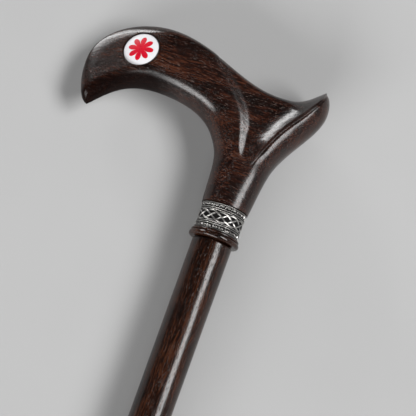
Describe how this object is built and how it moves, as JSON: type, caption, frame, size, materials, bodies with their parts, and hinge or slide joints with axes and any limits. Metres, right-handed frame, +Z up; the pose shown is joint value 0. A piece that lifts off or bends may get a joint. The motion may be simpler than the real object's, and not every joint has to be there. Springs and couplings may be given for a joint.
{
  "type": "walking cane",
  "caption": "Wooden walking cane lying on its side: carved anatomical handle with a beak and a flared tail, cast collar, turned ring, tapered round shaft and a rubber tip.",
  "frame": {"origin": "centre of the bounding box on the surface that the cane lies on", "axes": "+X along the shaft from the rubber tip to the handle, +Y to the side that the handle's beak points to, +Z up from the surface, out of the flank with the badge"},
  "size_m": [0.92, 0.1334, 0.0381],
  "materials": {
    "handle_wood": "very dark streaked hardwood under gloss lacquer",
    "shaft_wood": "very dark streaked hardwood under gloss lacquer",
    "ring_wood": "turned dark red-brown hardwood, lacquered",
    "pewter": "cast white metal, antique pewter with blackened recesses",
    "bezel_metal": "thin blackened metal cup",
    "white_enamel": "domed white enamel",
    "red_enamel": "crimson enamel",
    "stud_steel": "zinc-plated threaded rod",
    "bush_brass": "turned brass",
    "tip_rubber": "matte black moulded rubber",
    "washer_steel": "plain pressed steel"
  },
  "bodies": {
    "cane": {"handle": "handle_wood", "badge_bezel": "bezel_metal", "badge_disc": "white_enamel", "badge_rosette": "red_enamel", "collar": "pewter", "collar_ring": "ring_wood", "connecting_stud": "stud_steel", "handle_bush": "bush_brass", "shaft_bush": "bush_brass", "shaft": "shaft_wood"},
    "ferrule": {"rubber_tip": "tip_rubber", "tip_washer": "washer_steel"}
  },
  "joints": [
    {"name": "tip_pull", "type": "slide", "parent": "cane", "child": "ferrule", "axis": [-1, 0, -0.0011], "range_m": [0, 0.04]}
  ]
}
